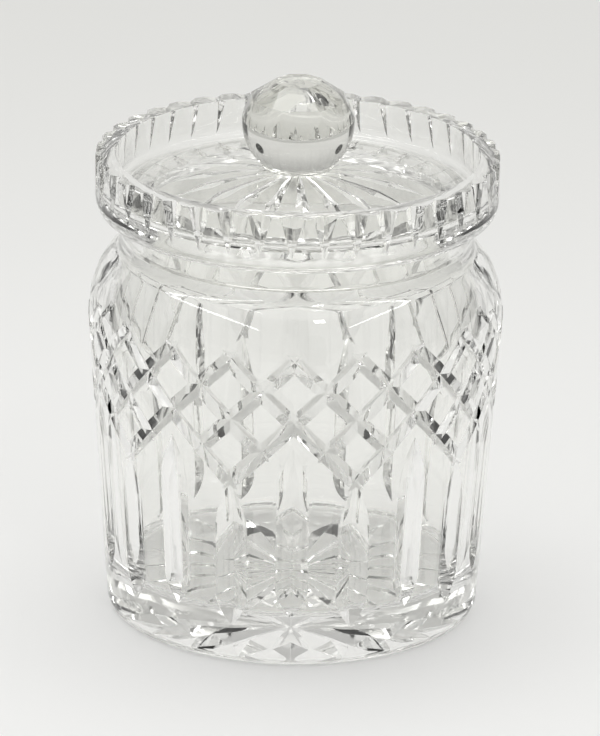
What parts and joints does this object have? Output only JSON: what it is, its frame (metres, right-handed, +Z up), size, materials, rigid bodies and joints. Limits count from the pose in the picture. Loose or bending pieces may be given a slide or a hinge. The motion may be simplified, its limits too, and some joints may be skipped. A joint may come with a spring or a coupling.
{
  "type": "powder jar",
  "caption": "Tall cut-glass lidded jar with a diamond band over upright flutes, a star-cut foot, and a lift-off dished lid with a notched rim and a faceted ball knob.",
  "frame": {"origin": "centre of the jar's foot, on the surface it stands on", "axes": "+Z up along the jar's axis, -Y towards the viewer, +X to the viewer's right"},
  "size_m": [0.131, 0.131, 0.1736],
  "materials": {
    "jar_glass": "clear lead crystal, wheel-cut and polished",
    "lid_glass": "clear lead crystal, wheel-cut and polished",
    "knob_glass": "clear lead crystal, facet-cut and polished"
  },
  "bodies": {
    "jar": {"jar": "jar_glass"},
    "lid": {"lid": "lid_glass", "lid_knob": "knob_glass"}
  },
  "joints": [
    {"name": "lid_lift", "type": "slide", "parent": "jar", "child": "lid", "axis": [0, 0, 1], "range_m": [0, 0.06]}
  ]
}
